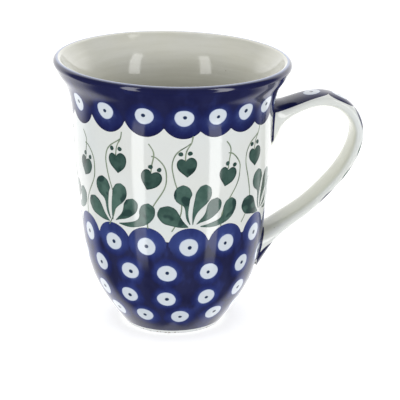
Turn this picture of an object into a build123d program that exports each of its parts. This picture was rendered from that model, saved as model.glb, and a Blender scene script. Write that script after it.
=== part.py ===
from build123d import *
import math
import os

# Stoneware mug: a jiggered cup with a flared lip, a pulled strap handle luted on with
# two collars of slip, and fused glass glazes over the fired clay.
# Millimetres. The cup's axis is Z, its foot stands on z = 0 and the handle is on +X.

# ---- Driving dimensions ----
mug_height = 114.0
glaze = 0.4                    # thickness of every fused glaze coat
lip_thickness = 2.6            # clay at the lip, before glazing
foot_radius = 21.2             # outer edge of the bare foot ring
foot_width = 3.6               # width of the foot ring on the table
foot_band = 1.2                # height of the bare edge of the foot ring
recess_depth = 2.4             # hollow under the cup, inside the foot ring
floor_height = 8.0             # inside floor of the cup above the table

lip_radius = lip_thickness / 2
lip_height = mug_height - glaze - lip_radius
lip_centre = (47.3, lip_height)
lip_outer_angle = -30.0        # where the outside curve runs into the round of the lip
lip_inner_angle = 150.0        # where the inside curve leaves the round of the lip

# Clay curves of the cup, as (radius, height), each from the foot up to the lip.
outside_points = [
    (foot_radius, foot_band),
    (26.0, 8.0),
    (32.7, 20.0),
    (36.8, 35.0),
    (38.8, 54.0),
    (40.4, 74.0),
    (41.2, 92.0),
    (42.3, 99.5),
    (44.0, 104.2),
    (46.6, 108.2),
]
inside_points = [
    (16.0, floor_height),
    (25.0, 12.6),
    (30.6, 22.5),
    (33.4, 38.0),
    (35.2, 60.0),
    (36.4, 84.0),
    (38.1, 98.0),
    (40.5, 104.4),
    (43.3, 108.6),
]

# Centre line of the handle, from inside the upper wall to inside the lower wall:
# (distance from the axis, height, half thickness, half width).
handle_stations = [
    (38.5, 85.4, 7.8, 9.8),
    (41.7, 87.4, 5.4, 9.0),
    (45.7, 89.6, 3.7, 8.2),
    (50.4, 91.6, 2.8, 7.7),
    (55.5, 93.3, 2.5, 7.4),
    (62.0, 94.3, 2.4, 7.2),
    (69.5, 92.7, 2.4, 7.0),
    (75.4, 88.1, 2.3, 6.8),
    (78.5, 81.0, 2.0, 6.8),
    (77.6, 73.0, 1.9, 6.8),
    (71.8, 62.2, 1.9, 6.9),
    (63.9, 53.5, 1.9, 7.0),
    (55.7, 46.4, 2.0, 7.2),
    (48.2, 41.4, 2.2, 7.6),
    (43.0, 37.7, 2.5, 8.2),
    (38.9, 34.5, 3.3, 9.0),
    (35.0, 31.5, 4.5, 9.8),
]

# Slip collar round each end of the strap: how far it stands proud of the strap at the
# station in the wall, at the station by the wall and at the next station out, where its
# surface has run in under the strap's.
collar_proud = (1.0, 0.5, -0.3)
upper_collar_stations = (0, 1, 2)
lower_collar_stations = (16, 15, 14)


def point(radius, height):
    """A point of the half section, which lies in the XZ plane."""
    return Vector(radius, 0, height)


def lip_point(angle, grow):
    """A point on the round of the lip, grown outwards by a coat of that thickness."""
    turn = math.radians(angle)
    reach = lip_radius + grow
    return point(lip_centre[0] + reach * math.cos(turn), lip_centre[1] + reach * math.sin(turn))


def lip_direction(angle):
    """Direction of travel along the lip at that angle, going round from outside to inside."""
    turn = math.radians(angle)
    return Vector(-math.sin(turn), 0, math.cos(turn))


def shifted(points, grow, side):
    """The points moved by grow along the normal of their curve, outwards for side = 1."""
    moved = []
    for index, (radius, height) in enumerate(points):
        before = points[max(index - 1, 0)]
        after = points[min(index + 1, len(points) - 1)]
        run, rise = after[0] - before[0], after[1] - before[1]
        length = math.hypot(run, rise)
        normal = (side * rise / length, -side * run / length)
        moved.append(point(radius + grow * normal[0], height + grow * normal[1]))
    return moved


def outside_curve(grow=0.0):
    """Outside of the cup, from the foot up to the round of the lip."""
    end = lip_point(lip_outer_angle, grow)
    start_direction = Vector(5.0, 0, 6.6)
    path = shifted(outside_points, grow, 1) + [end]
    return Spline(*path, tangents=[start_direction, lip_direction(lip_outer_angle)])


def inside_curve(grow=0.0):
    """Inside of the cup, from the flat of the floor up to the round of the lip."""
    end = lip_point(lip_inner_angle, grow)
    start_direction = Vector(1, 0, 0)
    path = shifted(inside_points, grow, -1) + [end]
    path[0] = point(inside_points[0][0], floor_height + grow)
    return Spline(*path, tangents=[start_direction, -lip_direction(lip_inner_angle)])


def lip_arc(first_angle, last_angle, grow=0.0):
    """Part of the round of the lip."""
    middle = (first_angle + last_angle) / 2
    ends = [lip_point(angle, grow) for angle in (first_angle, middle, last_angle)]
    return ThreePointArc(*ends)


def recess_curve(grow=0.0):
    """Shallow dome under the cup, from the foot ring's inner edge to the axis."""
    edge = foot_radius - foot_width
    rise = recess_depth - foot_band
    dome_radius = (edge ** 2 + rise ** 2) / (2 * rise)
    dome_centre = recess_depth - dome_radius - grow
    half_turn = math.asin(edge / dome_radius) / 2
    return ThreePointArc(
        point(edge, foot_band - grow),
        point(dome_radius * math.sin(half_turn), dome_centre + dome_radius * math.cos(half_turn)),
        point(0, recess_depth - grow),
    )


def turned(edges):
    """Revolve a closed half section round the cup's axis."""
    section = Face(Wire(edges))
    return revolve(section, Axis.Z, 360)


def make_cup():
    edge = foot_radius - foot_width
    outside, inside = outside_curve(), inside_curve()
    recess = recess_curve()
    return turned([
        outside,
        lip_arc(lip_outer_angle, lip_inner_angle),
        inside,
        Line(inside @ 0, point(0, floor_height)),
        Line(point(0, floor_height), recess @ 1),
        recess,
        Line(recess @ 0, point(edge, 0)),
        Line(point(edge, 0), point(foot_radius, 0)),
        Line(point(foot_radius, 0), outside @ 0),
    ])


def make_outside_coat():
    """Glaze on the outside, up to the crest of the lip."""
    clay, coat = outside_curve(), outside_curve(glaze)
    clay_lip, coat_lip = lip_arc(lip_outer_angle, 90), lip_arc(lip_outer_angle, 90, glaze)
    return turned([
        clay, clay_lip, Line(clay_lip @ 1, coat_lip @ 1), coat_lip, coat, Line(coat @ 0, clay @ 0),
    ])


def make_inside_coat():
    """Glaze on the inside, from the crest of the lip down and over the floor."""
    clay, coat = inside_curve(), inside_curve(glaze)
    clay_lip, coat_lip = lip_arc(90, lip_inner_angle), lip_arc(90, lip_inner_angle, glaze)
    top = point(0, floor_height + glaze)
    return turned([
        Line(clay_lip @ 0, coat_lip @ 0), coat_lip, coat, Line(coat @ 0, top),
        Line(top, point(0, floor_height)), Line(point(0, floor_height), clay @ 0), clay, clay_lip,
    ])


def make_underside_coat():
    """Glaze in the shallow recess under the cup."""
    clay, coat = recess_curve(), recess_curve(glaze)
    return turned([clay, Line(clay @ 1, coat @ 1), coat, Line(coat @ 0, clay @ 0)])


def make_hollow():
    """The space inside the clay, up to the lip."""
    inside = inside_curve()
    mouth = point(0, (inside @ 1).Z)
    floor = point(0, floor_height)
    return turned([inside, Line(inside @ 1, mouth), Line(mouth, floor), Line(floor, inside @ 0)])


def station_plane(index):
    """Plane across the handle at a station, with its X across the strap."""
    before = handle_stations[max(index - 1, 0)]
    after = handle_stations[min(index + 1, len(handle_stations) - 1)]
    along = Vector(after[0] - before[0], 0, after[1] - before[1])
    here = handle_stations[index]
    return Plane(origin=(here[0], 0, here[1]), x_dir=(0, 1, 0), z_dir=along)


def make_strap(grow=0.0):
    """Oval strap lofted through the handle's stations."""
    sections = []
    for index, (_, _, half_thickness, half_width) in enumerate(handle_stations):
        oval = Ellipse(half_width + grow, half_thickness + grow)
        sections.append(station_plane(index) * oval)
    return loft(sections)


def make_collar(stations, grow=0.0):
    """Flared ring of slip round one end of the strap, widest in the wall."""
    sections = []
    for index, proud in sorted(zip(stations, collar_proud)):
        half_thickness, half_width = handle_stations[index][2:]
        oval = Ellipse(half_width + proud + grow, half_thickness + proud + grow)
        across = station_plane(index)
        # The collar's seam is on the far edge from the strap's own, so that they never meet.
        turned_round = Plane(origin=across.origin, x_dir=-across.x_dir, z_dir=across.z_dir)
        sections.append(turned_round * oval)
    return loft(sections)


def main_solid(shape):
    """The one solid that is wanted from a cut, without the crumbs inside the wall."""
    return max(shape.solids(), key=lambda solid: solid.volume)


cup = make_cup()
whole_outside_coat = make_outside_coat()
strap_blank = make_strap()
collar_blanks = [make_collar(upper_collar_stations), make_collar(lower_collar_stations)]

hollow = make_hollow()
strap = main_solid(strap_blank - cup - hollow)
collars = [main_solid(blank - strap_blank - cup - hollow) for blank in collar_blanks]
outside_coat = main_solid(whole_outside_coat - strap - collars[0] - collars[1])

coat_blank = make_strap(glaze)
for stations in (upper_collar_stations, lower_collar_stations):
    coat_blank = coat_blank + make_collar(stations, glaze)
handle_coat = coat_blank - strap_blank - collar_blanks[0] - collar_blanks[1]
handle_coat = main_solid(handle_coat - cup - hollow - whole_outside_coat)

nodes = {
    "cup_body": cup,
    "handle_strap": strap,
    "upper_slip_collar": collars[0],
    "lower_slip_collar": collars[1],
    "outside_glaze": outside_coat,
    "inside_glaze": make_inside_coat(),
    "underside_glaze": make_underside_coat(),
    "handle_glaze": handle_coat,
}

os.makedirs("parts", exist_ok=True)
for name, solid in nodes.items():
    export_step(solid, f"parts/{name}.step")
    size = solid.bounding_box().size
    print(f"{name}: {solid.volume:.0f} mm3, {size.X:.1f} x {size.Y:.1f} x {size.Z:.1f} mm")
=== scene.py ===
"""Looks of a stoneware mug: thrown cup, strap handle, fused glazes and hand-stamped painting.

Lengths are in millimetres until a mesh is made. Azimuths are degrees round the cup's axis,
with the handle at 0, and a cup position is an azimuth and the length along the glazed
outside, measured up from the foot.
"""
import math
import random

import bpy
import numpy as np
from mathutils import Matrix, Vector


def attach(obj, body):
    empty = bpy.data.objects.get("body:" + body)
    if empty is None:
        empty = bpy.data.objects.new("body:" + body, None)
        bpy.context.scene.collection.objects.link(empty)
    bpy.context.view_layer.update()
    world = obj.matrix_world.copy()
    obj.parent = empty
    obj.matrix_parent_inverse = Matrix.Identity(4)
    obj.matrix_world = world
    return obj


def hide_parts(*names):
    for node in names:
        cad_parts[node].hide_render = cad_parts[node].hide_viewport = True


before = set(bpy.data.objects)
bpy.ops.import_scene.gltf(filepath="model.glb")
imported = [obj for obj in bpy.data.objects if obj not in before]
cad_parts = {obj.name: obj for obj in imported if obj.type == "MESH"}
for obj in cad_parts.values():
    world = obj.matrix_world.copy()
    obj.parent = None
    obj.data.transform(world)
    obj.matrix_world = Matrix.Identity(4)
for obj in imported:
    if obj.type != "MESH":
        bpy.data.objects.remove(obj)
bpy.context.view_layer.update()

MM = 0.001
chance = random.Random(7)

# ---- Shape of the clay ----
# The cup is the CAD's, but for the worn edges of its foot ring.
GLAZE = 0.4
FOOT_RADIUS, FOOT_WIDTH, FOOT_BAND = 21.2, 3.6, 1.2
FOOT_CHAMFER = 0.35
RECESS_DEPTH = 2.4
FLOOR_HEIGHT = 8.0
LIP_CENTRE, LIP_RADIUS = (47.3, 112.3), 1.3
LIP_OUTER_ANGLE, LIP_CREST_ANGLE, LIP_INNER_ANGLE = -30, 90, 150
# Curves from the foot up to the lip, as (radius, height).
OUTSIDE = [(21.2, 1.2), (26.0, 8.0), (32.7, 20.0), (36.8, 35.0), (38.8, 54.0), (40.4, 74.0),
           (41.2, 92.0), (42.3, 99.5), (44.0, 104.2), (46.6, 108.2)]
INSIDE = [(16.0, 8.0), (25.0, 12.6), (30.6, 22.5), (33.4, 38.0), (35.2, 60.0), (36.4, 84.0),
          (38.1, 98.0), (40.5, 104.4), (43.3, 108.6)]
# Centre line of the handle: (distance from the axis, height, half thickness, half width).
# It starts and ends deeper in the wall than the CAD's, and its lower end is a little fuller,
# so that the visual coat covers the collar of slip there.
HANDLE = [(32.5, 83.0, 10.5, 10.3), (38.5, 85.4, 7.8, 9.8), (41.7, 87.4, 5.4, 9.0),
          (45.7, 89.6, 3.7, 8.2), (50.4, 91.6, 2.8, 7.7), (55.5, 93.3, 2.5, 7.4),
          (62.0, 94.3, 2.4, 7.2), (69.5, 92.7, 2.4, 7.0), (75.4, 88.1, 2.3, 6.8),
          (78.5, 81.0, 2.0, 6.8), (77.6, 73.0, 1.9, 6.8), (71.8, 62.2, 1.9, 6.9),
          (63.9, 53.5, 1.9, 7.0), (55.7, 46.4, 2.0, 7.2), (48.2, 41.4, 2.2, 7.6),
          (43.0, 37.7, 2.6, 8.2), (38.9, 34.5, 3.5, 9.0), (35.0, 31.5, 4.8, 9.8),
          (30.5, 28.2, 6.2, 10.4)]

# The rim is a little askew: the cup leans from one height up, and at the rim it has dropped by
# this much per mm towards one azimuth. It is also slightly out of round, in two waves.
RIM_LEAN, LEAN_AZIMUTH, LEAN_FROM = 0.0227, -9.0, 60.0
RIM_HEIGHT = 114.0
OVAL, RIPPLE = 0.04, 0.025

# Heights of the painted films over the glaze, and how far their backs are sunk in it.
FIELD_LIFT, LINE_LIFT, SPOT_LIFT, DETAIL_LIFT, SUNK = 0.03, 0.04, 0.06, 0.09, -0.05


def smooth(x):
    """Rises from 0 to 1 as x does, with level ends."""
    x = np.clip(x, 0.0, 1.0)
    return x * x * (3 - 2 * x)


def cubic(points, start=None, end=None):
    """Cubic spline through the points, and its length. Lengths are chords, measured over the
    first two coordinates, and the direction at either end may be given."""
    points = np.array(points, float)
    chords = np.linalg.norm(np.diff(points[:, :2], axis=0), axis=1)
    knots = np.concatenate([[0.0], np.cumsum(chords)])
    last = len(points) - 1
    system, wanted = np.zeros((last + 1, last + 1)), np.zeros(points.shape)
    for i in range(1, last):
        a, b = 1 / chords[i - 1], 1 / chords[i]
        system[i, i - 1:i + 2] = a, 2 * (a + b), b
        wanted[i] = 3 * ((points[i] - points[i - 1]) * a * a + (points[i + 1] - points[i]) * b * b)
    for i, inner, chord, direction in ((0, 1, 0, start), (last, last - 1, -1, end)):
        if direction is None:
            system[i, i], system[i, inner] = 2, 1
            wanted[i] = 3 * (points[max(i, inner)] - points[min(i, inner)]) / chords[chord]
        else:
            system[i, i] = 1
            wanted[i] = np.array(direction, float) / np.linalg.norm(direction)
    slopes = np.linalg.solve(system, wanted)

    def at(length):
        length = np.asarray(length, float)
        i = np.clip(np.searchsorted(knots, length, side="right") - 1, 0, last - 1)
        h = chords[i][..., None]
        x = (length - knots[i])[..., None] / h
        return (points[i] * (1 + 2 * x) * (1 - x) ** 2 + points[i + 1] * x * x * (3 - 2 * x)
                + h * slopes[i] * x * (1 - x) ** 2 - h * slopes[i + 1] * x * x * (1 - x))

    return at, knots[-1]


def shifted(points, grow, side):
    """The points moved by grow along the normal of their curve."""
    moved = []
    for i, here in enumerate(points):
        before, after = points[max(i - 1, 0)], points[min(i + 1, len(points) - 1)]
        run, rise = after[0] - before[0], after[1] - before[1]
        length = math.hypot(run, rise)
        moved.append((here[0] + side * grow * rise / length, here[1] - side * grow * run / length))
    return moved


def lip_arc(first, last, grow, count=28):
    """Points round the lip, from one angle to another."""
    turn = np.radians(np.linspace(first, last, count))
    reach = LIP_RADIUS + grow
    return np.stack([LIP_CENTRE[0] + reach * np.cos(turn), LIP_CENTRE[1] + reach * np.sin(turn)], -1)


def lip_direction(angle):
    """Direction of travel round the lip at that angle, going from outside to inside."""
    turn = math.radians(angle)
    return np.array([-math.sin(turn), math.cos(turn)])


def outside_line(grow, top=LIP_CREST_ANGLE, count=150):
    """Outside of the cup from the foot to an angle on the lip, as (radius, height)."""
    arc = lip_arc(LIP_OUTER_ANGLE, top, grow)
    points = shifted(OUTSIDE, grow, 1) + [tuple(arc[0])]
    at, length = cubic(points, (5.0, 6.6), lip_direction(LIP_OUTER_ANGLE))
    return np.concatenate([at(np.linspace(0, length, count))[:-1], arc])


def inside_line(grow, count=130):
    """Inside of the cup from the middle of the floor to the crest of the lip."""
    arc = lip_arc(LIP_INNER_ANGLE, LIP_CREST_ANGLE, grow)
    points = shifted(INSIDE, grow, -1)
    points[0] = (INSIDE[0][0], FLOOR_HEIGHT + grow)
    at, length = cubic(points + [tuple(arc[0])], (1, 0), -lip_direction(LIP_INNER_ANGLE))
    floor = np.stack([np.linspace(0, INSIDE[0][0], 10), np.full(10, FLOOR_HEIGHT + grow)], -1)
    return np.concatenate([floor[:-1], at(np.linspace(0, length, count))[:-1], arc])


# The glazed outside that the painting lies on, from the foot to just past the crest, and the
# length along it.
PAST_CREST_ANGLE = 118
skin_line = outside_line(GLAZE, top=PAST_CREST_ANGLE, count=3000)
skin_steps = np.linalg.norm(np.diff(skin_line, axis=0), axis=1)
skin_length = np.concatenate([[0.0], np.cumsum(skin_steps)])
skin_slope = np.gradient(skin_line, axis=0)
skin_slope /= np.linalg.norm(skin_slope, axis=1)[:, None]
rising = skin_line[:, 1].argmax() + 1
CREST = skin_length[rising - 1]


def length_at(height):
    """Length along the outside at which the cup has that height."""
    return float(np.interp(height, skin_line[:rising, 1], skin_length[:rising]))


def wall_radius(height):
    """Radius of the glazed outside at that height."""
    return np.interp(height, skin_line[:rising, 1], skin_line[:rising, 0])


def place(radius, azimuth, height):
    """Space position of a point of the cup, with its slight lean and thrown unevenness."""
    turn = np.radians(azimuth)
    radius = radius + OVAL * np.sin(2 * turn + 0.6) + RIPPLE * np.sin(5 * turn + height / 23)
    x, y = radius * np.cos(turn), radius * np.sin(turn)
    lean = math.radians(LEAN_AZIMUTH)
    drop = RIM_LEAN * smooth((height - LEAN_FROM) / (RIM_HEIGHT - LEAN_FROM))
    return np.stack([x, y, height - drop * (x * math.cos(lean) + y * math.sin(lean))], -1)


def cup_skin(azimuth, length, lift):
    """Point of the glazed outside, lifted off it along its normal."""
    azimuth, length = np.broadcast_arrays(azimuth, length)
    radius = np.interp(length, skin_length, skin_line[:, 0])
    height = np.interp(length, skin_length, skin_line[:, 1])
    run = np.interp(length, skin_length, skin_slope[:, 0])
    rise = np.interp(length, skin_length, skin_slope[:, 1])
    return place(radius + lift * rise, azimuth, height - lift * run)


# ---- Shape of the handle ----
SECTION_POWER = 2.5            # 2 is an oval strap, more is squarer
FILLET, FILLET_REACH = 1.5, 6.5    # how much it swells at the wall, and how far from the wall
WALL_DEPTH = 0.8               # how far the handle's coat runs into the cup's wall
HANDLE_TRIM = 1.5              # cut off each end of the coat, inside the wall
handle_at, HANDLE_LENGTH = cubic(HANDLE)


def handle_form(along, turn):
    """Point of the glazed handle: turn is 0 on its outer face and -90 on its -Y side."""
    along, turn = np.broadcast_arrays(along, np.radians(turn))
    here = handle_at(along)
    ahead = handle_at(along + 0.05)[..., :2] - handle_at(along - 0.05)[..., :2]
    ahead /= np.linalg.norm(ahead, axis=-1)[..., None]
    outer = np.stack([-ahead[..., 1], ahead[..., 0]], -1)
    power = SECTION_POWER
    bulge = (np.abs(np.cos(turn)) ** power + np.abs(np.sin(turn)) ** power) ** (-1 / power)
    up = (here[..., 2] + GLAZE) * np.cos(turn) * bulge
    across = (here[..., 3] + GLAZE) * np.sin(turn) * bulge

    def gap(x, y, z):
        return np.hypot(x, y) - wall_radius(z)

    def spread(factor):
        return (here[..., 0] + outer[..., 0] * up * factor, across * factor,
                here[..., 1] + outer[..., 1] * up * factor)

    # It swells into a fillet by the wall, and what would end deeper stops just inside it.
    near = np.clip(1 - gap(*spread(1.0)) / FILLET_REACH, 0, 1)
    x, y, z = spread(1 + FILLET * near ** 2 / np.hypot(up, across))
    sunk = np.maximum(wall_radius(z) - WALL_DEPTH, 1) / np.maximum(np.hypot(x, y), 1e-6)
    push = np.maximum(sunk, 1)
    return np.stack([x * push, y * push, z], -1)


def handle_skin(along, turn, lift):
    """Point of the glazed handle, lifted off it along its normal."""
    along, turn = np.broadcast_arrays(np.asarray(along, float), np.asarray(turn, float))
    lengthways = handle_form(along + 0.1, turn) - handle_form(along - 0.1, turn)
    round_it = handle_form(along, turn + 1.0) - handle_form(along, turn - 1.0)
    normal = np.cross(lengthways, round_it)
    size = np.linalg.norm(normal, axis=-1)[..., None]
    return handle_form(along, turn) + lift * normal / np.maximum(size, 1e-9)


# ---- Mesh making ----

class Builder:
    """Collects vertices, faces and painted values, then makes one object of them."""

    def __init__(self):
        self.points, self.faces, self.values, self.count = [], [], {}, 0

    def add(self, points, values=None):
        """Adds a grid of points and returns their numbers in the same layout."""
        flat = points.reshape(-1, 3)
        numbers = np.arange(self.count, self.count + len(flat)).reshape(points.shape[:-1])
        self.points.append(flat)
        self.count += len(flat)
        for name, value in (values or {}).items():
            spread = np.broadcast_to(np.asarray(value, float), points.shape[:-1])
            self.values.setdefault(name, []).append(spread.reshape(-1))
        return numbers

    def quads(self, a, b, c, d):
        """Faces between four matching rows of corners."""
        self.faces.extend(np.stack([a, b, c, d], -1).reshape(-1, 4).tolist())

    def grid(self, numbers, wrap=False, flip=False):
        """Faces over a grid; wrap joins its last column to its first."""
        if wrap:
            numbers = np.concatenate([numbers, numbers[:, :1]], 1)
        a, b, c, d = numbers[:-1, :-1], numbers[:-1, 1:], numbers[1:, 1:], numbers[1:, :-1]
        if flip:
            b, d = d, b
        self.quads(a, b, c, d)

    def mesh(self, name):
        """The mesh in metres. Faces with a repeated corner become triangles."""
        mesh = bpy.data.meshes.new(name)
        faces = [tuple(dict.fromkeys(face)) for face in self.faces]
        mesh.from_pydata((np.concatenate(self.points) * MM).tolist(), [],
                         [face for face in faces if len(face) > 2])
        for key, parts in self.values.items():
            layer = mesh.attributes.new(key, "FLOAT", "POINT")
            layer.data.foreach_set("value", np.concatenate(parts).astype(np.float32))
        return mesh

    def make(self, name, finish, slot, replaces=(), sharp=30):
        """The finished piece, creased where faces meet at more than the sharp angle."""
        mesh = self.mesh(name)
        mesh.shade_smooth()
        mesh.set_sharp_from_angle(angle=math.radians(sharp))
        mesh.materials.append(finish)
        piece = bpy.data.objects.new(name, mesh)
        bpy.context.scene.collection.objects.link(piece)
        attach(piece, "root")
        if replaces:
            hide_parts(*replaces)
        return piece


def film(builder, skin, across, along, lift, values, wrap=False, pole=False):
    """Thin closed layer of paint over a grid of surface positions. With pole, the first
    row is a single middle point."""
    sides = []
    for height in (lift, SUNK):
        points = skin(across, along, height)
        if pole:
            whole = {k: np.broadcast_to(v, points.shape[:-1]) for k, v in values.items()}
            middle = builder.add(points[:1, :1], {k: v[:1, :1] for k, v in whole.items()})
            rest = builder.add(points[1:], {k: v[1:] for k, v in whole.items()})
            numbers = np.concatenate([np.repeat(middle, points.shape[1], 1), rest])
        else:
            numbers = builder.add(points, values)
        sides.append(numbers)
    top, back = sides
    builder.grid(top, wrap)
    builder.grid(back, wrap, flip=True)
    edges = [(top[-1], back[-1], False)]
    if not pole:
        edges.append((top[0], back[0], True))
    if not wrap:
        edges += [(top[:, 0], back[:, 0], False), (top[:, -1], back[:, -1], True)]
    for high, low, flip in edges:
        if wrap:
            high, low = np.append(high, high[0]), np.append(low, low[0])
        if flip:
            builder.quads(high[:-1], low[:-1], low[1:], high[1:])
        else:
            builder.quads(high[1:], low[1:], low[:-1], high[:-1])


def lathe(line, columns=360):
    """Closed body of revolution from a line of (radius, height). A line that starts away from
    the axis is joined end to start."""
    builder = Builder()
    azimuths = np.linspace(0, 360, columns, endpoint=False)
    rows = []
    for radius, height in line:
        if radius < 1e-6:
            number = builder.add(place(0 * azimuths[:1], azimuths[:1], height))
            rows.append(np.repeat(number, columns))
        else:
            rows.append(builder.add(place(radius, azimuths, height)))
    if line[0][0] > 1e-6:
        rows.append(rows[0])
    builder.grid(np.array(rows), wrap=True)
    return builder


# ---- Materials ----
GLOSSY = (0.05, 0.10)          # roughness of clear glaze, from its smoothest to its roughest


def srgb(red, green, blue):
    """A display colour, 0 to 255, as the linear colour that a shader takes."""
    parts = [value / 255 for value in (red, green, blue)]
    return tuple(v / 12.92 if v <= 0.04045 else ((v + 0.055) / 1.055) ** 2.4 for v in parts) + (1,)


def add_node(tree, kind, inputs=None, **settings):
    """Adds a node. Each input is a value, or the output of another node."""
    made = tree.nodes.new(kind)
    for key, value in settings.items():
        setattr(made, key, value)
    for key, value in (inputs or {}).items():
        feed(tree, made.inputs[key], value)
    return made


def feed(tree, socket, value):
    """Links an output to the socket, or sets it to a value."""
    if isinstance(value, bpy.types.NodeSocket):
        tree.links.new(value, socket)
    else:
        socket.default_value = value


class Shader:
    """A principled material and short ways of adding nodes to it."""

    def __init__(self, name, ior=1.5):
        self.material = bpy.data.materials.new(name)
        self.material.use_nodes = True
        self.tree = self.material.node_tree
        self.body = self.tree.nodes["Principled BSDF"]
        self.feed("IOR", ior)
        self.place = self.node("ShaderNodeTexCoord").outputs["Object"]

    def node(self, kind, inputs=None, **settings):
        return add_node(self.tree, kind, inputs, **settings)

    def feed(self, name, value):
        """Feeds one of the principled shader's own sockets."""
        feed(self.tree, self.body.inputs[name], value)

    def noise(self, size, detail=2.0, stretch=None):
        """Noise with features of about that size in mm; stretch squeezes it per axis."""
        where = self.place
        if stretch:
            where = self.node("ShaderNodeMapping", {"Vector": where, "Scale": stretch}).outputs[0]
        made = self.node("ShaderNodeTexNoise", {"Vector": where, "Scale": 1 / (size * MM),
                                                "Detail": detail})
        return made.outputs["Fac"]

    def painted(self, name):
        """A value that the mesh carries at its points."""
        return self.node("ShaderNodeAttribute", attribute_name=name).outputs["Fac"]

    def math(self, operation, a, b):
        return self.node("ShaderNodeMath", {0: a, 1: b}, operation=operation).outputs[0]

    def between(self, value, low, high, to_low=0.0, to_high=1.0):
        """Smooth step of the value from one range to another."""
        made = self.node("ShaderNodeMapRange", {"Value": value, "From Min": low, "From Max": high,
                                                "To Min": to_low, "To Max": to_high},
                         interpolation_type="SMOOTHSTEP")
        return made.outputs["Result"]

    def mix(self, factor, a, b, blend="MIX"):
        made = self.node("ShaderNodeMix", {0: factor, 6: a, 7: b}, data_type="RGBA", blend_type=blend)
        return made.outputs[2]

    def ramp(self, value, stops):
        """Colour at the value, between stops of (position, colour)."""
        made = self.node("ShaderNodeValToRGB", {"Fac": value})
        elements = made.color_ramp.elements
        while len(elements) < len(stops):
            elements.new(0.5)
        for element, (position, colour) in zip(elements, stops):
            element.position, element.color = position, colour
        return made.outputs["Color"]

    def bump(self, height, depth):
        """Relief of that depth in mm."""
        made = self.node("ShaderNodeBump", {"Height": height, "Distance": depth * MM, "Strength": 1.0})
        self.feed("Normal", made.outputs["Normal"])

    def finish(self, colour, rough_from, rough_to, patch=9.0, peel=0.012, peel_size=3.5):
        """Sets the colour, and a roughness and orange-peel relief that vary over the glaze."""
        self.feed("Base Color", colour)
        self.feed("Roughness", self.between(self.noise(patch), 0.35, 0.65, rough_from, rough_to))
        self.bump(self.noise(peel_size, 1.0), peel)
        return self.material


SHADE_TOP, SHADE_FROM = 111.0, 83.0    # heights between which the inside glaze is painted greyer, as painted shade deeper in the cup
SPECK_SPACING = 7.5


def glaze_finish(name, plain, warm, cool, inner=None, deep=None):
    """Clear glaze over pale clay: clouding, a few iron specks and a bluish or warm cast.
    It may be tinted on the inner face of the handle, or greyed with painted shade towards the bottom of
    the cup, where faint throwing lines run round too."""
    shader = Shader(name)
    cloud = shader.mix(shader.between(shader.noise(16, 3.0), 0.3, 0.7, 0.0, 0.5), plain, warm)
    cloud = shader.mix(shader.between(shader.noise(30, 1.0), 0.45, 0.75, 0.0, 0.6), cloud, cool)
    if inner:
        cloud = shader.mix(shader.painted("inner"), cloud, inner)
    # Painted shade: the inside glaze darkens by height towards the floor of the cup.
    if deep:
        height = shader.node("ShaderNodeSeparateXYZ", {"Vector": shader.place}).outputs["Z"]
        cloud = shader.mix(shader.between(height, SHADE_TOP * MM, SHADE_FROM * MM), cloud, deep)
        thrown = shader.between(shader.noise(22, 3.0, (1, 1, 12)), 0.35, 0.7, 0.0, 0.35)
        cloud = shader.mix(thrown, cloud, shader.mix(1.0, cloud, srgb(236, 236, 230), "MULTIPLY"))
    cells = {"Vector": shader.place, "Scale": 1 / (SPECK_SPACING * MM)}
    speck = shader.node("ShaderNodeTexVoronoi", cells).outputs["Distance"]
    spot = shader.between(speck, 0.02, 0.045, 0.5, 0.0)
    rare = shader.between(shader.noise(11, 0.0), 0.60, 0.64)
    colour = shader.mix(shader.math("MULTIPLY", spot, rare), cloud, srgb(120, 104, 88))
    return shader.finish(colour, *GLOSSY)


def cobalt_finish(name, gloss):
    """Stamped cobalt: royal rings round the eyes, navy between them, pooled and brushed. It is
    lighter, darker or worn thin where the mesh says so, and gloss is its specular level."""
    shader = Shader(name)
    shader.feed("Specular IOR Level", gloss)
    wander = shader.between(shader.noise(2.6, 3.0), 0.25, 0.75, -0.06, 0.06)
    ring = shader.math("ADD", shader.painted("ring"), wander)
    rings = shader.ramp(ring, [(0.42, srgb(74, 88, 144)), (0.56, srgb(54, 67, 120)),
                               (0.68, srgb(42, 52, 106)), (0.86, srgb(35, 42, 92)),
                               (1.0, srgb(36, 39, 74))])
    light = shader.mix(shader.painted("light"), rings, srgb(53, 66, 122), "LIGHTEN")
    wash = shader.between(shader.noise(8, 3.0, (1, 1, 0.5)), 0.52, 0.70, 0.0, 0.5)
    light = shader.mix(wash, light, srgb(50, 62, 122), "LIGHTEN")
    streak = shader.between(shader.noise(7, 4.0, (1, 1, 0.35)), 0.38, 0.66, 0.0, 0.6)
    pooled = shader.mix(streak, light, shader.mix(1.0, light, srgb(166, 160, 184), "MULTIPLY"))
    dark = shader.mix(shader.painted("dark"), pooled, srgb(16, 20, 64))
    worn = shader.mix(shader.painted("thin"), dark, srgb(150, 162, 196))
    return shader.finish(worn, 0.05, 0.11)


def mark_finish(name, size, wander, stops):
    """Paint of a round mark: its colour goes by stops from the middle to the edge, which
    wanders in and out by so much, in waves of about that size in mm."""
    shader = Shader(name)
    uneven = shader.between(shader.noise(size), 0.3, 0.7, -wander, wander)
    colour = shader.ramp(shader.math("ADD", shader.painted("reach"), uneven), stops)
    return shader.finish(colour, *GLOSSY)


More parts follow.
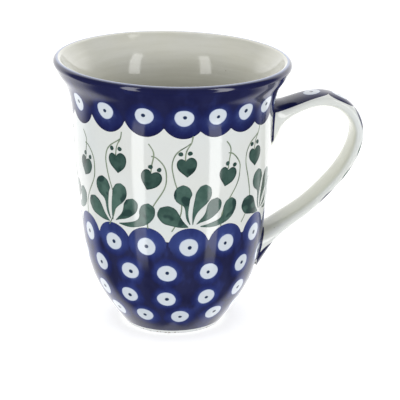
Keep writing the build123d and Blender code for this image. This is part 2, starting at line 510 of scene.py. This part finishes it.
def leaf_finish(name, pale, plain, deep):
    """Brushed green: pale where the brush pressed, deep where the colour pooled."""
    shader = Shader(name)
    brushed = shader.math("MULTIPLY", shader.between(shader.noise(4.5, 3.0), 0.3, 0.7), 0.6)
    each_own = shader.math("MULTIPLY", shader.painted("tone"), 0.4)
    colour = shader.mix(shader.math("ADD", brushed, each_own), plain, pale)
    patch = shader.between(shader.noise(6, 1.0), 0.55, 0.64, 0.0, 0.75)
    colour = shader.mix(patch, colour, deep)
    rim = shader.between(shader.painted("edge"), 0.78, 1.0, 0.0, 0.5)
    colour = shader.mix(rim, colour, deep)
    return shader.finish(colour, 0.06, 0.12)


def clay_finish(name, light, dark):
    """Bare fired stoneware: fine grain, dark grog and a dry surface."""
    shader = Shader(name, 1.45)
    grain = shader.between(shader.noise(0.35, 3.0), 0.35, 0.65)
    colour = shader.mix(grain, light, dark)
    grog = shader.between(shader.noise(0.9, 0.0), 0.66, 0.72, 0.0, 0.7)
    colour = shader.mix(grog, colour, srgb(146, 136, 126))
    return shader.finish(colour, 0.6, 0.8, patch=2.0, peel=0.05, peel_size=0.4)


white_glaze = glaze_finish("white_glaze", srgb(213, 216, 214), srgb(211, 213, 208),
                           srgb(211, 217, 218))
handle_white = glaze_finish("handle_glaze", srgb(219, 222, 219), srgb(214, 216, 210),
                            srgb(216, 221, 222), inner=srgb(212, 213, 198))
# The inside glaze's deep colour is painted shade, darkening it towards the floor of the cup.
cream_glaze = glaze_finish("cream_glaze", srgb(219, 219, 210), srgb(216, 215, 202),
                           srgb(218, 219, 214), deep=srgb(168, 167, 154))
WALL_GLOSS, LIP_GLOSS = 0.22, 0.6
cobalt = cobalt_finish("cobalt_under_glaze", WALL_GLOSS)
lip_cobalt = cobalt_finish("lip_cobalt_under_glaze", LIP_GLOSS)
# Bare glaze inside a stamped eye, blued a little where the cobalt has bled in, and its dot.
spot_white = mark_finish("eye_spot_glaze", 2.0, 0.02,
                         [(0.0, srgb(202, 209, 214)), (0.86, srgb(200, 208, 217)),
                          (0.95, srgb(186, 196, 214)), (1.0, srgb(132, 144, 182))])
centre_blue = mark_finish("eye_centre_paint", 0.6, 0.1,
                          [(0.0, srgb(28, 38, 66)), (0.7, srgb(38, 52, 80)),
                           (1.0, srgb(86, 104, 128))])
leaf_green = leaf_finish("leaf_paint", srgb(80, 108, 99), srgb(48, 74, 68), srgb(26, 50, 50))
heart_green = leaf_finish("heart_paint", srgb(64, 90, 83), srgb(40, 66, 60), srgb(20, 42, 41))
stem_green = leaf_finish("stem_paint", srgb(138, 150, 128), srgb(112, 128, 108), srgb(84, 100, 86))
bare_clay = clay_finish("fired_clay", srgb(227, 229, 230), srgb(215, 216, 217))
slip_clay = clay_finish("slip", srgb(206, 196, 180), srgb(184, 172, 154))

# ---- Cup ----
# The clay's line starts under the floor, with the shallow dome of the recess.
inner_edge = FOOT_RADIUS - FOOT_WIDTH
dome_rise = RECESS_DEPTH - FOOT_BAND
dome_radius = (inner_edge ** 2 + dome_rise ** 2) / (2 * dome_rise)
dome_reach = np.linspace(0, inner_edge, 16)
dome_height = RECESS_DEPTH - dome_radius + np.sqrt(dome_radius ** 2 - dome_reach ** 2)
dome = np.stack([dome_reach, dome_height], -1)
foot = [(inner_edge, FOOT_CHAMFER), (inner_edge + FOOT_CHAMFER, 0), (FOOT_RADIUS - FOOT_CHAMFER, 0),
        (FOOT_RADIUS, FOOT_CHAMFER)]
clay_line = np.concatenate([dome, foot, outside_line(0), inside_line(0)[::-1]])
outside_coat = np.concatenate([outside_line(GLAZE), outside_line(0)[::-1]])
inside_coat = np.concatenate([inside_line(GLAZE), inside_line(0)[::-1][:-1], [(0, FLOOR_HEIGHT)]])
for line, name, finish, slot, node in (
        (clay_line, "cup_clay", bare_clay, "fired_clay", "cup_body"),
        (outside_coat, "cup_outside_glaze", white_glaze, "painted_glaze", "outside_glaze"),
        (inside_coat, "cup_inside_glaze", cream_glaze, "cream_glaze", "inside_glaze")):
    lathe(line).make(name, finish, slot, [node], sharp=40)

# ---- Handle ----
INNER_FACE_FROM, INNER_FACE_FADE = 112, 30    # degrees round the handle
handle_body = Builder()
handle_turns = np.linspace(-180, 180, 72, endpoint=False)
handle_rows = np.linspace(HANDLE_TRIM, HANDLE_LENGTH - HANDLE_TRIM, 260)
shell = handle_form(handle_rows[:, None], handle_turns[None, :])
inner_face = smooth((np.abs(handle_turns) - INNER_FACE_FROM) / INNER_FACE_FADE)
inner_face = inner_face * np.ones(shell.shape[:2])
numbers = handle_body.add(shell, {"inner": inner_face})
handle_body.grid(numbers, wrap=True, flip=True)
for row, flip in ((0, False), (-1, True)):
    middle = handle_body.add(shell[row].mean(0)[None, None], {"inner": 0.0})
    cap = np.concatenate([np.repeat(middle, len(handle_turns), 1), numbers[row][None]])
    handle_body.grid(cap, wrap=True, flip=not flip)
handle_body.make("handle_coat", handle_white, "painted_glaze", ["handle_glaze"], sharp=60)

# ---- Painted pattern of the cup ----
# The lists give the azimuths of the marks on the front, and each row is carried on round the
# back up to its whole number.
EYE_RADIUS, CENTRE_RADIUS = 3.8, 0.86
RIM_EYES, RIM_EYE_COUNT = [-160.3, -137.3, -114.1, -93.1, -74.8, -56.9, -38.7], 18
RIM_LOBE = 9.0
RIM_EYE_HEIGHT = 100.5
BAND_TOP, LIP_FOOT = CREST + 0.25, CREST - 3.5
UNDER_LIP_HEIGHT, WORN_WIDTH = 110, 1.3
# Rows of eyes of the lower field, the scalloped one first: (height, azimuths, number in the row).
FIELD_ROWS = [
    (44.9, [-161.9, -137.8, -115.2, -89.5, -65.1, -39.4], 14),
    (33.0, [-151.6, -127.3, -102.9, -75.7, -49.5], 14),
    (20.7, [-157.0, -131.2, -103.7, -74.9, -45.3], 13),
    (10.8, [-151.8, -123.2, -93.3, -62.5], 12),
]
EYE_RING, FIELD_LOBE, FIELD_FOOT = 7.0, 8.4, 1.0
RING_BLEND = 5.0               # length over which a ring widens to its lobe
# The scallops of the lower field are washed lighter, from a little below their eyes.
LOBE_LIGHT, LIGHT_BELOW, LIGHT_FADE = 0.75, 5.0, 6.0
SPRIGS, SPRIG_COUNT = [-137.9, -88.3, -35.2], 7
SPRIG_HEIGHT = 54.6
HIGH_HEARTS, LOW_HEARTS, HEART_COUNT = [-132.2, -91.9, -45.8], [-158.8, -112.0, -67.4], 7


def all_round(seen, count):
    """Adds evenly spaced azimuths after the given ones, round the back, up to count."""
    missing = count - len(seen)
    gap = (seen[0] + 360 - seen[-1]) / (missing + 1)
    more = [seen[-1] + gap * (i + 1) + chance.uniform(-0.6, 0.6) for i in range(missing)]
    return list(seen) + more


def folded(angle):
    """The angle between -180 and 180."""
    return (angle + 180) % 360 - 180


def eye_distance(azimuth, length, eyes, side):
    """Distance from each surface position to the nearest eye, over that eye's ring. The ring
    widens to the lobe on the scalloped side, 1 above the eyes and -1 below."""
    best = np.full(np.broadcast(azimuth, length).shape, np.inf)
    radius = np.interp(length, skin_length, skin_line[:, 0])
    for eye_azimuth, eye_length, lobe in eyes:
        sideways = np.radians(folded(azimuth - eye_azimuth)) * radius
        outward = smooth(0.5 + side * (length - eye_length) / RING_BLEND)
        ring = EYE_RING + (lobe - EYE_RING) * outward
        best = np.minimum(best, np.hypot(sideways, length - eye_length) / ring)
    return best


def scallops(azimuth, eyes, lobe, side):
    """Length of the scalloped edge at each azimuth: side is 1 above the eyes, -1 below."""
    edge = np.full(azimuth.shape, side * eyes[0][1] + 0.3 * lobe)
    for eye_azimuth, eye_length, _ in eyes:
        radius = np.interp(eye_length + side * lobe * 0.6, skin_length, skin_line[:, 0])
        sideways = np.radians(folded(azimuth - eye_azimuth)) * radius
        reach = np.sqrt(np.maximum(lobe ** 2 - sideways ** 2, 0))
        edge = np.maximum(edge, np.where(np.abs(sideways) < lobe, side * eye_length + reach, -1e3))
    return side * edge


columns = np.linspace(-180, 180, 720, endpoint=False)
rim_row = length_at(RIM_EYE_HEIGHT)
rim_eyes = [(azimuth, rim_row + chance.uniform(-0.3, 0.3), RIM_LOBE)
            for azimuth in all_round(RIM_EYES, RIM_EYE_COUNT)]
band_foot = scallops(columns, rim_eyes, RIM_LOBE, -1)


def rim_film(name, finish, top, foot, steps):
    """Cobalt all round between two lengths: thick under the lip and worn thin on its crest."""
    builder = Builder()
    length = top + (foot - top) * steps[:, None]
    dark = 0.4 + 0.4 * smooth((length - length_at(UNDER_LIP_HEIGHT)) / 3)
    thin = smooth((length - CREST + WORN_WIDTH) / 1.5)
    ring = eye_distance(columns[None], length, rim_eyes, -1)
    film(builder, cup_skin, np.broadcast_to(columns, length.shape), length, FIELD_LIFT,
         {"ring": ring, "dark": dark * (1 - thin), "thin": thin}, wrap=True)
    builder.make(name, finish, "cobalt_paint")


lip_foot = np.full(columns.shape, LIP_FOOT)
rim_film("cobalt_lip", lip_cobalt, BAND_TOP, lip_foot, np.linspace(0, 1, 16))
rim_film("cobalt_rim_band", cobalt, LIP_FOOT, band_foot, np.linspace(0, 1, 30) ** 1.3)

field_eyes = []
for row, (height, seen, count) in enumerate(FIELD_ROWS):
    ring = FIELD_LOBE if row == 0 else EYE_RING
    for azimuth in all_round(seen, count):
        field_eyes.append((azimuth, length_at(height) + chance.uniform(-0.3, 0.3), ring))
lobe_eyes = [eye for eye in field_eyes if eye[2] == FIELD_LOBE]
field = Builder()
field_top = scallops(columns, lobe_eyes, FIELD_LOBE, 1)
fractions = np.linspace(0, 1, 56)[:, None]
field_length = field_top + (FIELD_FOOT - field_top) * fractions
field_ring = eye_distance(columns[None], field_length, field_eyes, 1)
rise = smooth((field_length - lobe_eyes[0][1] + LIGHT_BELOW) / LIGHT_FADE)
lobe_light = LOBE_LIGHT * rise * (field_ring < 1.02)
film(field, cup_skin, np.broadcast_to(columns, field_length.shape), field_length, FIELD_LIFT,
     {"ring": field_ring, "light": lobe_light}, wrap=True)
field.make("cobalt_lower_field", cobalt, "cobalt_paint")


def disc(builder, skin, centre, radius, lift, scale, squash=1.0, rings=5, around=40, wobble=0.03):
    """Round spot of paint, slightly uneven. scale turns mm into the first surface coordinate."""
    turn = np.linspace(0, 2 * math.pi, around, endpoint=False)
    phase, other_phase = chance.uniform(0, 6.28), chance.uniform(0, 6.28)
    uneven = 1 + wobble * (np.sin(2 * turn + phase) + 0.5 * np.sin(3 * turn + other_phase))
    reach = np.linspace(0, 1, rings + 1)[:, None] * np.ones(around)[None]
    first = centre[0] + radius * squash * uneven * np.cos(turn) * reach * scale
    second = centre[1] + radius * uneven * np.sin(turn) * reach
    film(builder, skin, first, second, lift, {"reach": reach}, wrap=True, pole=True)


def per_mm(length):
    """Degrees of azimuth for one mm round the cup at that length along the outside."""
    return math.degrees(1 / np.interp(length, skin_length, skin_line[:, 0]))


JOINT_WIDTH, JOINT_HEIGHTS = 36, [(25, 42), (74, 96)]     # in degrees and mm


def behind_handle(azimuth, height):
    """Whether an eye there would run under one of the handle's joints."""
    beside = abs(folded(azimuth)) < JOINT_WIDTH / 2
    return beside and any(low < height < high for low, high in JOINT_HEIGHTS)


spots, centres = Builder(), Builder()
for azimuth, length, ring in rim_eyes + field_eyes:
    height = float(np.interp(length, skin_length, skin_line[:, 1]))
    if behind_handle(azimuth, height):
        continue
    scale = per_mm(length)
    disc(spots, cup_skin, (azimuth, length), EYE_RADIUS, SPOT_LIFT, scale,
         chance.uniform(0.98, 1.06))
    aside = (azimuth + chance.uniform(-0.4, 0.4) * scale, length + chance.uniform(-0.3, 0.3))
    disc(centres, cup_skin, aside, CENTRE_RADIUS * chance.uniform(0.85, 1.1), DETAIL_LIFT, scale,
         rings=2, around=20)
spots.make("eye_spots", spot_white, "dot_paint")
centres.make("eye_centres", centre_blue, "cobalt_paint")


def stroke(builder, skin, points, widths, lift, scale, origin=(0.0, 0.0), rows=26, across=8):
    """Brush stroke along a smooth line of (sideways, up) points in mm from the origin, with
    the width at each point. scale turns mm into the first surface coordinate. Its edge value
    rises to 1 along both sides and at both ends."""
    at, length = cubic([(*p, w) for p, w in zip(points, widths)])
    steps = (1 - np.cos(np.linspace(0, math.pi, rows))) / 2 * length
    here = at(steps)
    ahead = at(steps + 0.02)[:, :2] - at(steps - 0.02)[:, :2]
    ahead /= np.linalg.norm(ahead, axis=1)[:, None]
    normal = np.stack([-ahead[:, 1], ahead[:, 0]], -1)
    side = np.linspace(-1, 1, across + 1)
    half = np.maximum(here[:, 2], 0.02)[:, None] / 2 * side[None]
    first = origin[0] + (here[:, 0][:, None] + normal[:, 0][:, None] * half) * scale
    second = origin[1] + here[:, 1][:, None] + normal[:, 1][:, None] * half
    tip = np.abs(2 * steps / length - 1)[:, None] ** 6
    edge = np.maximum(np.abs(side)[None] * np.ones((rows, 1)), tip)
    film(builder, skin, first, second, lift, {"edge": edge, "tone": chance.random()})


# Leaves of a sprig, each from its thin base to its round end: (sideways, up, width) in mm.
LEAVES = [
    [(-1.2, -0.7, 0.3), (-3.0, 0.1, 2.0), (-5.0, 1.2, 3.9), (-7.1, 2.8, 6.2), (-9.0, 4.3, 7.7),
     (-10.7, 5.8, 6.9), (-12.0, 7.2, 3.9), (-12.5, 7.8, 0.4)],
    [(-0.5, 0.4, 0.3), (-1.4, 2.4, 0.9), (-1.9, 4.8, 1.1), (-2.0, 7.4, 1.5), (-2.4, 9.9, 3.3),
     (-3.2, 11.8, 6.2), (-3.6, 14.1, 7.4), (-3.6, 16.3, 5.9), (-3.6, 17.6, 3.2), (-3.6, 18.2, 0.4)],
    [(0.6, 0.3, 0.3), (0.8, 2.7, 0.9), (1.3, 5.2, 1.9), (2.6, 8.3, 4.1), (4.1, 11.0, 6.3),
     (5.0, 13.4, 6.8), (5.4, 15.4, 5.4), (5.6, 16.6, 3.0), (5.7, 17.1, 0.4)],
    [(2.2, 0.4, 0.3), (3.9, 1.6, 1.3), (6.3, 3.1, 3.1), (8.1, 5.0, 5.0), (9.3, 7.0, 6.3),
     (10.0, 8.8, 5.7), (10.4, 10.2, 3.4), (10.5, 10.9, 0.4)],
    [(3.8, -0.7, 0.4), (6.0, -0.7, 1.2), (8.8, -0.5, 2.1), (11.5, 0.1, 2.6), (14.0, 1.3, 3.7),
     (15.7, 3.2, 5.4), (16.5, 5.4, 6.5), (16.9, 7.4, 5.9), (17.1, 9.0, 3.4), (17.2, 9.7, 0.4)],
]
sprigs = Builder()
for azimuth in all_round(SPRIGS, SPRIG_COUNT):
    base_length = length_at(SPRIG_HEIGHT + chance.uniform(-0.4, 0.6))
    for leaf in LEAVES:
        reach, girth = chance.uniform(0.97, 1.03), chance.uniform(0.95, 1.05)
        points = [(aside * reach, up * reach) for aside, up, _ in leaf]
        stroke(sprigs, cup_skin, points, [width * girth for *_, width in leaf], SPOT_LIFT,
               per_mm(base_length + 8), (azimuth, base_length))
sprigs.make("leaf_sprigs", leaf_green, "leaf_paint")

# Halves of a heart from its notch to its tip, in mm.
HEART_LEFT = [(0, 0), (-0.9, 0.75), (-2.0, 1.05), (-3.3, 0.2), (-3.8, -1.6), (-3.2, -3.5),
              (-2.0, -4.9), (-0.8, -6.0), (0.3, -7.1)]
HEART_RIGHT = [(0, 0), (0.8, 0.85), (2.1, 1.4), (3.4, 1.0), (4.4, -0.3), (4.5, -2.3), (3.6, -4.4),
               (1.9, -6.0), (0.3, -7.1)]
HEART_MIDDLE = np.array([0.3, -2.2])


def heart(builder, azimuth, length, lean):
    """Painted heart with its notch at the given position, turned by lean degrees."""
    halves = []
    for half in (HEART_LEFT, HEART_RIGHT):
        at, size = cubic(half)
        halves.append(at(np.linspace(0, size, 30)))
    outline = np.concatenate([halves[0][:-1], halves[1][:0:-1]])
    reach = np.linspace(0, 1, 8)[:, None]
    spread = (outline - HEART_MIDDLE)[None] * reach[..., None] * chance.uniform(0.96, 1.04)
    shape = HEART_MIDDLE + spread
    turn = math.radians(lean + chance.uniform(-3, 3))
    sideways = shape[..., 0] * math.cos(turn) - shape[..., 1] * math.sin(turn)
    up = shape[..., 0] * math.sin(turn) + shape[..., 1] * math.cos(turn)
    edge = reach * np.ones(len(outline))[None]
    film(builder, cup_skin, azimuth + sideways * per_mm(length), length + up, SPOT_LIFT,
         {"edge": edge, "tone": chance.random()}, wrap=True, pole=True)


# Stems of a heart, as (degrees aside of it, height on the cup).
HIGH_STEMS = [
    [(4.0, 92.6), (3.6, 91.0), (2.9, 89.5), (1.2, 87.4), (0.1, 85.0), (-0.3, 82.3)],
    [(2.9, 89.4), (0.2, 88.1), (-2.9, 86.7), (-5.7, 84.6), (-7.3, 82.2), (-7.6, 79.5),
     (-7.1, 76.6), (-5.9, 73.3), (-3.6, 68.0), (-2.1, 63.0), (-3.5, 57.5), (-8.0, 52.0)],
]
LOW_STEMS = [
    [(-0.5, 89.0), (1.2, 87.3), (2.3, 85.4), (2.0, 82.8), (1.4, 80.4), (0.8, 77.2)],
    [(1.0, 83.9), (2.7, 83.7), (5.3, 82.4), (7.8, 80.4), (9.2, 78.0), (9.5, 75.4), (9.1, 72.3),
     (7.5, 69.3), (4.2, 65.7), (0.5, 61.5), (-2.0, 57.0), (-2.0, 52.7)],
]
BERRY_RADIUS, STEM_WIDTH = 0.92, 0.5
HANDLE_HIDES = 16              # no heart is painted this near to the handle, in degrees
# (azimuths, degrees aside, height of the notch, stems, berries beside it, lean in degrees)
HEART_KINDS = [
    (HIGH_HEARTS, 0.0, 82.2, HIGH_STEMS, [(-2.8, 85.1), (2.4, 85.3)], 0.0),
    (LOW_HEARTS, 1.1, 76.7, LOW_STEMS, [(0.5, 79.5), (5.4, 78.4)], -17.0),
]
hearts, stems, berries = Builder(), Builder(), Builder()
for seen, aside, notch, lines, fruit, lean in HEART_KINDS:
    for azimuth in all_round(seen, HEART_COUNT):
        if abs(folded(azimuth)) < HANDLE_HIDES:
            continue
        heart(hearts, azimuth + aside, length_at(notch), lean)
        scale = per_mm(length_at(notch))
        for line in lines:
            points = [((a + chance.uniform(-0.15, 0.15)) / scale, length_at(z)) for a, z in line]
            widths = [STEM_WIDTH * chance.uniform(0.85, 1.15) for _ in line]
            stroke(stems, cup_skin, points, widths, LINE_LIFT, scale, (azimuth, 0.0), rows=60, across=2)
        for beside, height in fruit:
            disc(berries, cup_skin, (azimuth + beside, length_at(height)), BERRY_RADIUS, DETAIL_LIFT,
                 scale, rings=2, around=20, wobble=0.06)
berries.values["edge"] = berries.values.pop("reach")    # the name that the leaf paint reads
hearts.make("painted_hearts", heart_green, "leaf_paint")
stems.make("painted_stems", stem_green, "leaf_paint")
berries.make("painted_berries", heart_green, "leaf_paint")

# ---- Painted pattern of the handle ----
# Each cobalt patch: its lobes as (first, last, middle) in mm along the handle and how far round
# they reach in degrees, its eyes, and which end is open and rounded. Lobes meet at cusps.
HANDLE_PATCHES = [
    ([(5.0, 34.6, 20.0, 63), (34.6, 45.6, 39.8, 61), (45.6, 57.5, 52.0, 65)], [29.0, 40.0, 51.0], 1),
    ([(80.8, 92.6, 86.6, 77), (92.6, 103.6, 98.1, 50), (103.6, 115.5, 109.5, 50),
      (115.5, 128.4, 122.5, 80)], [87.0, 98.1, 109.0], -1),
]
CUSP_TURN = 24.0
HANDLE_EYE, HANDLE_CENTRE, HANDLE_RING = 3.3, 0.7, 6.0


def handle_edge(along, lobes, open_end):
    """How far round the handle, in degrees, the cobalt reaches on each side. The patch's open
    end is its last for 1 and its first for -1."""
    reach = np.zeros(along.shape)
    for first, last, middle, turn in lobes:
        here = (along >= first) & (along <= last)
        past = along > middle
        half = np.where(past, last - middle, middle - first)
        arch = np.sqrt(np.maximum(1 - ((along - middle) / half) ** 2, 0))
        if open_end > 0:
            rounded = past & (last == lobes[-1][1])
        else:
            rounded = ~past & (first == lobes[0][0])
        low = np.where(rounded, 0.0, CUSP_TURN)
        reach = np.where(here, low + (turn - low) * arch, reach)
    return np.maximum(reach, 0.5)


def flat_skin(along, sideways, lift):
    """Handle position for marks on its outer face, with mm across it."""
    wide = handle_at(along)[..., 3]
    return handle_skin(along, np.degrees(np.arcsin(np.clip(sideways / wide, -1, 1))), lift)


def swapped_skin(sideways, along, lift):
    """The same with mm across first, for strokes drawn along the handle."""
    return flat_skin(along, sideways, lift)


handle_blue, handle_spots, handle_centres = Builder(), Builder(), Builder()
for lobes, eyes, open_end in HANDLE_PATCHES:
    start, end = lobes[0][0], lobes[-1][1]
    along = np.linspace(start, end, 200)[:, None]
    turn = handle_edge(along, lobes, open_end) * np.linspace(-1, 1, 41)[None]
    along = np.broadcast_to(along, turn.shape)
    width = handle_at(along)[..., 3] * np.sin(np.radians(turn))
    ring = np.min([np.hypot(along - eye, width) / HANDLE_RING for eye in eyes], 0)
    film(handle_blue, handle_skin, along, turn, FIELD_LIFT, {"ring": ring, "dark": 0.7})
    for eye in eyes:
        disc(handle_spots, flat_skin, (eye, 0.0), HANDLE_EYE, SPOT_LIFT, 1.0)
        disc(handle_centres, flat_skin, (eye, 0.1), HANDLE_CENTRE, DETAIL_LIFT, 1.0, rings=2,
             around=20)
handle_blue.make("handle_cobalt", cobalt, "cobalt_paint")
handle_spots.make("handle_eye_spots", spot_white, "dot_paint")
handle_centres.make("handle_eye_centres", centre_blue, "cobalt_paint")

# Two pairs of brushed leaves between the patches, as (mm along, sideways, width), each pair
# with a thin leaf between.
HANDLE_LEAVES = [
    [(57.8, 2.6, 0.4), (59.4, 4.6, 1.6), (62.0, 5.5, 1.8), (64.6, 5.5, 1.7), (67.4, 4.8, 0.4)],
    [(69.2, 2.8, 0.4), (70.8, 4.9, 1.8), (73.4, 5.65, 1.9), (76.2, 5.6, 1.8), (79.0, 4.9, 0.4)],
]
handle_leaves = Builder()
for leaf in HANDLE_LEAVES:
    for side in (-1, 1):
        stroke(handle_leaves, swapped_skin, [(side * aside, along) for along, aside, _ in leaf],
               [width for *_, width in leaf], SPOT_LIFT, 1.0)
    middle_leaf = [(0, leaf[0][0]), (0.2, leaf[2][0]), (0, leaf[-1][0] + 1)]
    stroke(handle_leaves, swapped_skin, middle_leaf, [0.5, 1.6, 0.4], SPOT_LIFT, 1.0)
handle_leaves.make("handle_leaves", leaf_green, "leaf_paint")

# Painted lines round the joints: the degrees round each side of the handle that they cover,
# and the end of it, 1 for the upper and -1 for the lower.
JOINT_LINES = [((18, 128), 1), ((70, 160), -1)]
LINE_FROM, LINE_TO = 0.1, 0.95      # distances from the cup's wall
JOINT_REACH = 30                    # length of the handle that is searched for them


def joint_rows(turns, gaps, end):
    """Lengths along the handle at which it is that far from the wall, near one of its ends."""
    along = np.linspace(0, JOINT_REACH, 400)
    if end < 0:
        along = HANDLE_LENGTH - along
    form = handle_form(along[:, None], turns[None])
    gap = np.hypot(form[..., 0], form[..., 1]) - wall_radius(form[..., 2])
    gap = np.maximum.accumulate(gap, axis=0)
    return np.array([[np.interp(g, gap[:, i], along) for i in range(len(turns))] for g in gaps])


joint_lines = Builder()
for (first, last), end in JOINT_LINES:
    for side in (-1, 1):
        turns = side * np.linspace(first, last, 70)
        rows = joint_rows(turns, np.linspace(LINE_FROM, LINE_TO, 5), end)
        film(joint_lines, handle_skin, rows, np.broadcast_to(turns, rows.shape), LINE_LIFT,
             {"ring": 1.0, "dark": 0.6})
joint_lines.make("joint_outlines", cobalt, "cobalt_paint")

# ---- Remaining CAD nodes ----
for node, finish in (("handle_strap", bare_clay), ("upper_slip_collar", slip_clay),
                     ("lower_slip_collar", slip_clay), ("underside_glaze", white_glaze)):
    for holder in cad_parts[node].material_slots:
        holder.material = finish

# ---- Floor, light and camera ----
FLOOR_RADIUS, FLOOR_DROP = 900.0, 0.02    # it lies just clear of the foot
FLOOR_IOR, FLOOR_GLOW = 1.3, 0.55


def make_floor(rings=40, around=96):
    """Pale studio floor, a round sheet that the mug stands on."""
    reach = np.linspace(0, 1, rings)[:, None] ** 1.5 * FLOOR_RADIUS
    turn = np.linspace(0, 2 * math.pi, around, endpoint=False)[None]
    level = np.full((rings, around), -FLOOR_DROP)
    points = np.stack([reach * np.cos(turn), reach * np.sin(turn), level], -1)
    builder = Builder()
    middle = builder.add(points[:1, :1])
    rest = builder.add(points[1:])
    builder.grid(np.concatenate([np.repeat(middle, around, 1), rest]), wrap=True)
    mesh = builder.mesh("studio_floor")
    shader = Shader("studio_floor", FLOOR_IOR)
    cloud = shader.mix(shader.noise(300), srgb(224, 225, 225), srgb(229, 229, 229))
    shader.feed("Base Color", cloud)
    shader.feed("Roughness", 0.9)
    shader.feed("Emission Color", (1, 1, 1, 1))
    shader.feed("Emission Strength", FLOOR_GLOW)
    mesh.materials.append(shader.material)
    floor = bpy.data.objects.new("studio_floor", mesh)
    floor.visible_glossy = False
    bpy.context.scene.collection.objects.link(floor)


# The camera's place, with its lengths in metres and its lens in mm.
CAMERA_AZIMUTH, CAMERA_ELEVATION, CAMERA_ROLL = -99.0, 18.49, 0.27
CAMERA_DISTANCE, LENS, SENSOR = 0.700, 149.6, 36.0
MUG_MIDDLE = Vector((0, 0, 0.057))
AIM_RIGHT, AIM_DOWN = 0.01137, 0.00463    # the picture's centre, from the mug's middle

# Softboxes: degrees to the right of the camera as it faces the mug, half width and strength.
STRIPS = [(-41.5, 7.4, 4.3), (51.0, 7.6, 4.8)]
STRIP_TOP, STRIP_FOOT = 45.0, -35.0
BACKDROP_FROM, BACKDROP = 118.0, 1.5      # degrees from the camera, and strength
STUDIO, OVERHEAD = 0.13, 0.35             # what the gloss shows elsewhere, and high up
EVEN_LOW, EVEN_HIGH = 1.12, 0.86          # light on the mug from the horizon and from above


def make_world():
    """White studio. The gloss shows two tall softboxes and a backdrop, the mug is lit evenly
    from all round, and the camera sees plain white."""
    world = bpy.data.worlds.new("studio")
    bpy.context.scene.world = world
    world.use_nodes = True
    tree = world.node_tree
    tree.nodes.clear()

    def node(kind, inputs=None, **settings):
        return add_node(tree, kind, inputs, **settings).outputs

    def calc(operation, a, b=0.0):
        return node("ShaderNodeMath", {0: a, 1: b}, operation=operation)[0]

    def fade(value, low, high):
        return node("ShaderNodeMapRange", {"Value": value, "From Min": low, "From Max": high},
                    interpolation_type="SMOOTHSTEP")[0]

    def choose(factor, a, b):
        return node("ShaderNodeMix", {0: factor, 2: a, 3: b}, data_type="FLOAT")[0]

    ray = node("ShaderNodeTexCoord")[0]
    turned = node("ShaderNodeVectorRotate", {"Vector": ray, "Angle": -math.radians(CAMERA_AZIMUTH)},
                  rotation_type="Z_AXIS")[0]
    parts = node("ShaderNodeSeparateXYZ", {0: turned})
    azimuth = calc("DEGREES", calc("ARCTAN2", parts[1], parts[0]))
    height = calc("DEGREES", calc("ARCSINE", parts[2]))

    away = calc("ABSOLUTE", azimuth)
    shown = calc("MULTIPLY", fade(away, BACKDROP_FROM - 10, BACKDROP_FROM + 14), BACKDROP)
    shown = calc("ADD", shown, STUDIO)
    shown = calc("ADD", shown, calc("MULTIPLY", fade(height, 30, 70), OVERHEAD))
    inside = calc("MULTIPLY", fade(height, STRIP_TOP + 3, STRIP_TOP - 3),
                  fade(height, STRIP_FOOT - 7, STRIP_FOOT + 5))
    for angle, half, strength in STRIPS:
        off = calc("ABSOLUTE", calc("SUBTRACT", azimuth, angle))
        strip = calc("MULTIPLY", fade(off, half + 1.2, half - 1.2), inside)
        shown = calc("ADD", shown, calc("MULTIPLY", strip, strength))

    even = node("ShaderNodeMapRange", {"Value": height, "From Min": 0.0, "From Max": 70.0,
                                       "To Min": EVEN_LOW, "To Max": EVEN_HIGH})[0]
    path = node("ShaderNodeLightPath")
    strength = choose(path["Is Glossy Ray"], choose(path["Is Camera Ray"], even, 1.0), shown)
    lit = node("ShaderNodeBackground", {"Color": (1, 1, 1, 1), "Strength": strength})[0]
    node("ShaderNodeOutputWorld", {"Surface": lit})


def level_frame(back):
    """Unit vectors to the right and upwards for a level camera that looks against back."""
    right = Vector((0, 0, 1)).cross(back).normalized()
    return right, back.cross(right)


def make_camera():
    """Camera at the product view: from the front, handle on the right, looking down."""
    azimuth, elevation = math.radians(CAMERA_AZIMUTH), math.radians(CAMERA_ELEVATION)
    toward = Vector((math.cos(azimuth) * math.cos(elevation),
                     math.sin(azimuth) * math.cos(elevation), math.sin(elevation)))
    stand = MUG_MIDDLE + toward * CAMERA_DISTANCE
    right, up = level_frame(toward)
    back = (stand - (MUG_MIDDLE + right * AIM_RIGHT - up * AIM_DOWN)).normalized()
    turn = Matrix((*level_frame(back), back)).transposed().to_4x4()
    roll = Matrix.Rotation(math.radians(CAMERA_ROLL), 4, "Z")
    data = bpy.data.cameras.new("camera")
    data.lens, data.sensor_width = LENS, SENSOR
    camera = bpy.data.objects.new("camera", data)
    camera.matrix_world = Matrix.Translation(stand) @ turn @ roll
    bpy.context.scene.collection.objects.link(camera)
    bpy.context.scene.camera = camera


make_floor()
make_world()
make_camera()
bpy.context.scene.view_settings.view_transform = "Standard"
